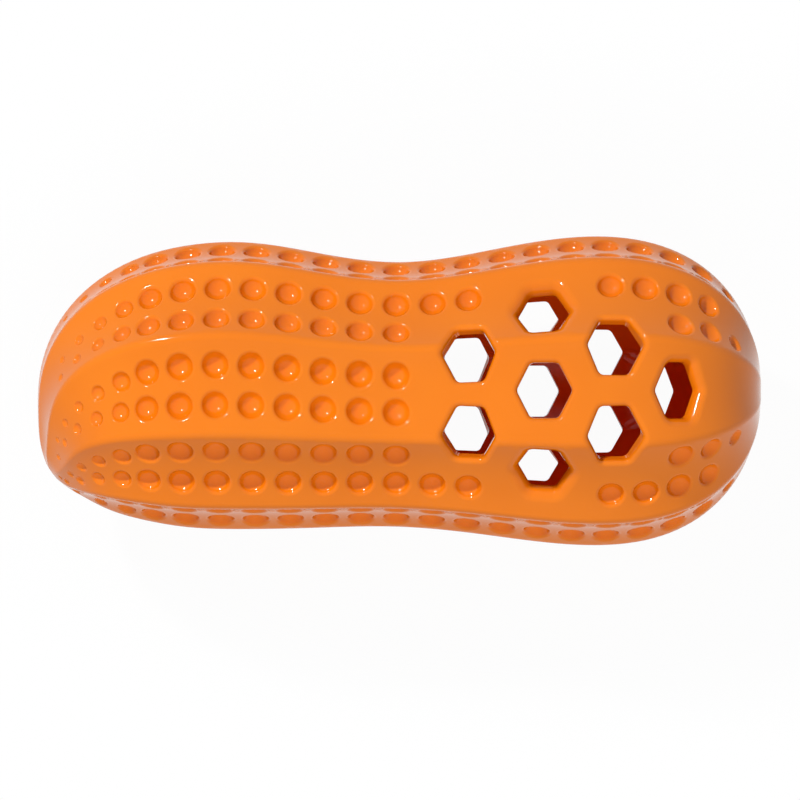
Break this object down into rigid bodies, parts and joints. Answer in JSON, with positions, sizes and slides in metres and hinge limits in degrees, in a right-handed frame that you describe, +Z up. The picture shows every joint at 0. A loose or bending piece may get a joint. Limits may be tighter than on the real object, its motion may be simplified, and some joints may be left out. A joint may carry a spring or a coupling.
{
  "type": "rubber chew toy",
  "caption": "Hollow peanut-shaped rubber chew toy with dimpled facets, six-sided treat windows in one lobe and a squeaker behind a bulkhead in the other.",
  "frame": {"origin": "on the floor, under the middle of the toy's box, as it lies on its back facets with both lobes touching", "axes": "+X along the toy from the closed lobe to the windowed lobe, +Y across it, +Z up, out of the side that the picture shows"},
  "size_m": [0.15, 0.0642, 0.0614],
  "materials": {
    "rubber": "glossy moulded rubber",
    "squeaker_plastic": "natural moulded plastic",
    "reed_film": "thin film"
  },
  "bodies": {
    "toy": {"top_shell": "rubber", "bottom_shell": "rubber", "bulkhead": "rubber", "squeaker_tube": "squeaker_plastic", "reed_block": "squeaker_plastic", "reed_clamp": "squeaker_plastic", "squeaker_screen": "squeaker_plastic"},
    "reed": {"reed": "reed_film"}
  },
  "joints": [
    {"name": "reed_beat", "type": "hinge", "parent": "toy", "child": "reed", "pos_m": [-0.01215, -0.00076, 0.02921], "axis": [0, 1, 0], "range_deg": [-8, 8], "stiffness_Nm_per_rad": 0.001}
  ]
}
